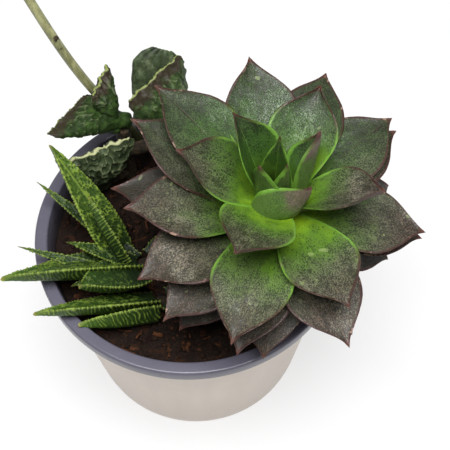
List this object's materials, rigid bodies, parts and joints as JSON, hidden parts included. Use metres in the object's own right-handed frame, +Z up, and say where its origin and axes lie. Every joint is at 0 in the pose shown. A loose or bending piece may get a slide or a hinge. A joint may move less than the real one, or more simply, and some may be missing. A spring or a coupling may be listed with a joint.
{
  "type": "potted succulent",
  "caption": "Round plastic nursery pot of mixed low succulents: a broad fleshy rosette, a crinkle-leaf clump with a bare flower stalk, and narrow ridged leaves.",
  "frame": {"origin": "middle of the pot's flat base, on the surface it stands on", "axes": "+Z up along the pot's axis; -Y is the pictured front; +X is to the right, where the rosette stands"},
  "size_m": [0.1355, 0.113, 0.1516],
  "materials": {
    "pot_plastic": "satin",
    "potting_soil": "rough, damp potting mix",
    "rosette_leaf": "waxy satin, finely speckled",
    "crinkle_leaf": "waxy satin, pale crest",
    "ridged_leaf": "satin, raised pale ridges",
    "flower_stalk": "satin, finely speckled"
  },
  "bodies": {
    "root": {"pot": "pot_plastic", "soil": "potting_soil", "rosette": "rosette_leaf", "crinkle_leaf_plant": "crinkle_leaf", "ridged_leaf_plant": "ridged_leaf", "ridged_leaf_offset": "ridged_leaf", "flower_stalk": "flower_stalk"}
  },
  "joints": []
}
